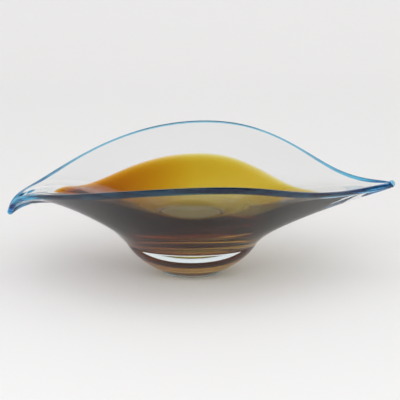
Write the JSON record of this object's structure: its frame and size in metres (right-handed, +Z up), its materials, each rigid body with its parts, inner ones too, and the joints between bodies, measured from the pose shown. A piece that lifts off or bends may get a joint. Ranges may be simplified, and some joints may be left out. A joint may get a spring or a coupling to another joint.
{
  "type": "art glass bowl",
  "caption": "Free-standing leaf-shaped blown glass bowl: clear casing over an amber cup, blue thread on the wavy lip and a solid clear heel with a flat base.",
  "frame": {"origin": "middle of the polished flat base", "axes": "+X along the bowl to the raised right tip, +Z up out of the bowl, the low lip faces -Y"},
  "size_m": [0.5143, 0.3862, 0.1729],
  "materials": {
    "clear_glass": "fire-polished, smooth and glossy, very faintly cool",
    "clear_heel": "fire-polished side, ground and polished flat base",
    "amber_glass": "transparent amber colour layer, deeper where it is thick",
    "blue_glass": "transparent cobalt to sky blue thread, glossy"
  },
  "bodies": {
    "root": {"clear_foot": "clear_heel", "clear_casing": "clear_glass", "amber_cup": "amber_glass", "clear_lining": "clear_glass", "blue_lip_wrap": "blue_glass", "lip_wrap_tail": "blue_glass"}
  },
  "joints": []
}
